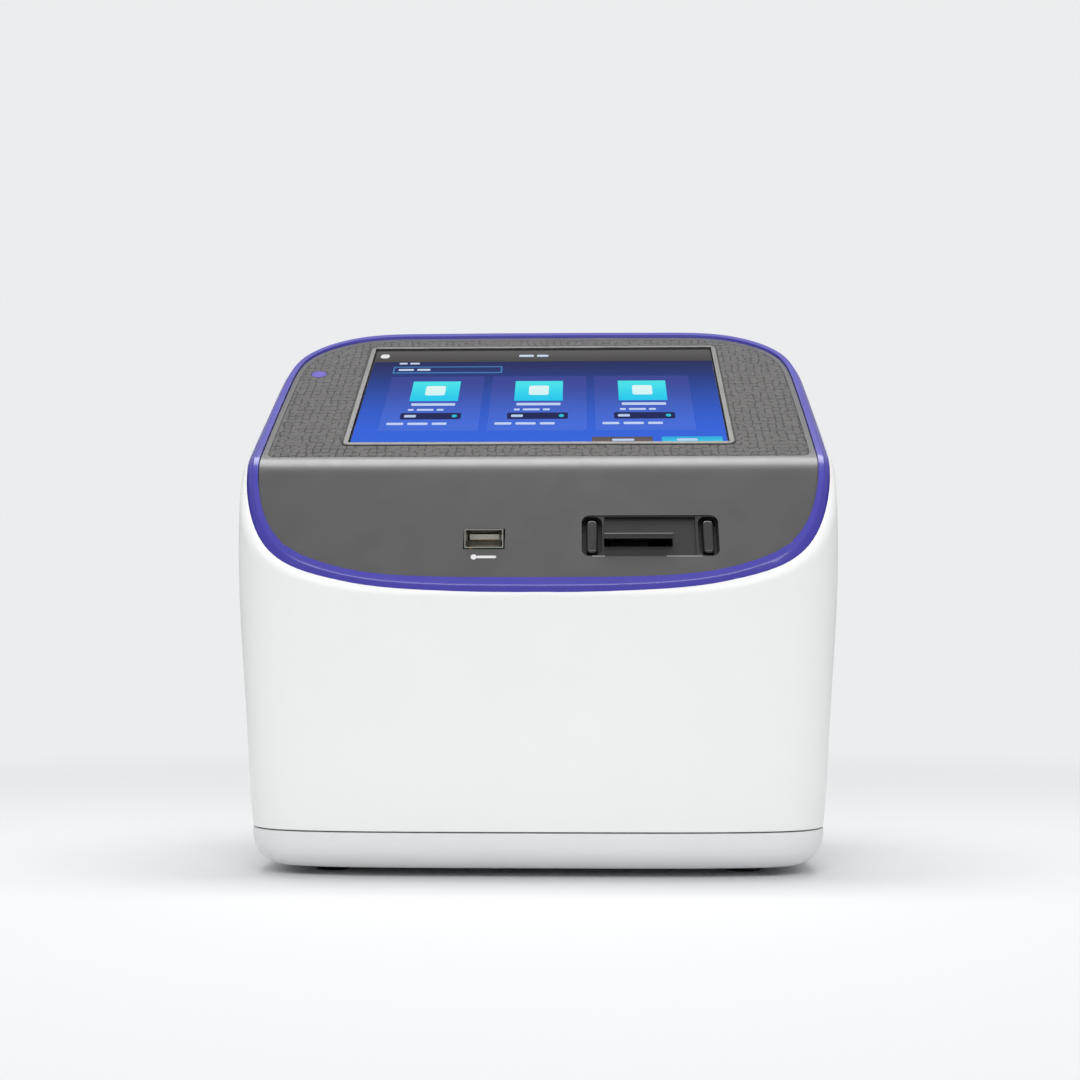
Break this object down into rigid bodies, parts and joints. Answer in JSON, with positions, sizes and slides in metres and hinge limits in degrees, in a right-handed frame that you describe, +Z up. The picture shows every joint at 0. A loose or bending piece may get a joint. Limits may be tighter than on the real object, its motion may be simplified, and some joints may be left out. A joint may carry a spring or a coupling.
{
  "type": "automated cell counter",
  "caption": "Bench instrument that counts cells: barrel-shaped white housing with a sloped dark control panel, tilted touch display, coloured trim ring, slide port and USB port.",
  "frame": {"origin": "middle of the footprint, on the bench under the rubber feet", "axes": "+Z up, the front with the sloped panel faces -Y, +X to the right seen from the front"},
  "size_m": [0.229, 0.1397, 0.229],
  "materials": {
    "anodised": "clear anodised",
    "black_metal": "black anodised",
    "black_plastic": "fine satin black",
    "board_green": "solder mask",
    "brass_parts": "turned",
    "chip_black": "moulded",
    "connector_steel": "nickel plated",
    "contact_gold": "gilt",
    "display_dark": "display module",
    "frame_steel": "brushed",
    "ground_steel": "ground",
    "inlay_grey": "fine cell texture",
    "lens_glass": "polished",
    "pan_grey": "satin light grey moulding",
    "panel_grey": "satin dark grey moulding",
    "ring_blue": "gloss violet-blue moulding",
    "rubber_feet": "matte",
    "screen_glass": "clear touch glass",
    "sheet_steel": "zinc plated sheet",
    "tongue_plastic": "ivory moulding",
    "violet_light": "diffusing light guide",
    "white_shell": "satin white moulding"
  },
  "bodies": {
    "instrument": {"back_board": "board_green", "base_pan": "pan_grey", "base_screws": "connector_steel", "board_standoffs": "brass_parts", "chassis_plate": "sheet_steel", "condenser_lens": "lens_glass", "control_panel": "panel_grey", "dc_jack_body": "black_plastic", "dc_jack_pin": "connector_steel", "display_bracket": "sheet_steel", "display_frame": "frame_steel", "display_glass": "screen_glass", "focus_motor": "black_metal", "focus_rods": "ground_steel", "foot_back_left": "rubber_feet", "foot_back_right": "rubber_feet", "foot_front_left": "rubber_feet", "foot_front_right": "rubber_feet", "heat_sink": "anodised", "lamp_arm": "anodised", "lamp_barrel": "black_metal", "lamp_board": "board_green", "lcd_module": "display_dark", "main_board": "board_green", "main_housing": "white_shell", "processor": "chip_black", "rod_foot": "anodised", "slide_port_bezel": "black_plastic", "slide_rail_left": "anodised", "slide_rail_right": "anodised", "stage_bracket": "sheet_steel", "status_light_board": "board_green", "status_light_pipe": "violet_light", "switch_frame": "black_plastic", "texture_inlay": "inlay_grey", "trim_ring": "ring_blue", "usb_back_contacts": "contact_gold", "usb_back_shell": "connector_steel", "usb_back_tongue": "tongue_plastic", "usb_front_board": "board_green", "usb_front_contacts": "contact_gold", "usb_front_shell": "connector_steel", "usb_front_tongue": "tongue_plastic"},
    "slide_carriage": {"slide_carriage": "black_plastic"},
    "focus_carriage": {"focus_carriage": "anodised", "objective": "black_metal", "camera_tube": "black_metal", "camera_board": "board_green", "focus_nut": "brass_parts"},
    "lead_screw": {"lead_screw": "ground_steel"},
    "power_rocker": {"power_rocker": "black_plastic"}
  },
  "joints": [
    {"name": "slide_travel", "type": "slide", "parent": "instrument", "child": "slide_carriage", "axis": [0, 1, 0], "range_m": [0, 0.01], "stiffness_N_per_m": 60, "springref_m": -0.01},
    {"name": "focus_screw_turn", "type": "hinge", "parent": "instrument", "child": "lead_screw", "pos_m": [0.038, 0.02, 0.05], "axis": [0, 0, 1], "range_deg": [-1080, 1080]},
    {"name": "focus_travel", "type": "slide", "parent": "instrument", "child": "focus_carriage", "axis": [0, 0, 1], "range_m": [-0.003, 0.003]},
    {"name": "power_switch", "type": "hinge", "parent": "instrument", "child": "power_rocker", "pos_m": [0.026, 0.058, 0.048], "axis": [1, 0, 0], "range_deg": [-16, 0]}
  ],
  "couplings": [
    {"joint": "focus_screw_turn", "follows": "focus_travel", "rad_per_m": 6283.2}
  ]
}
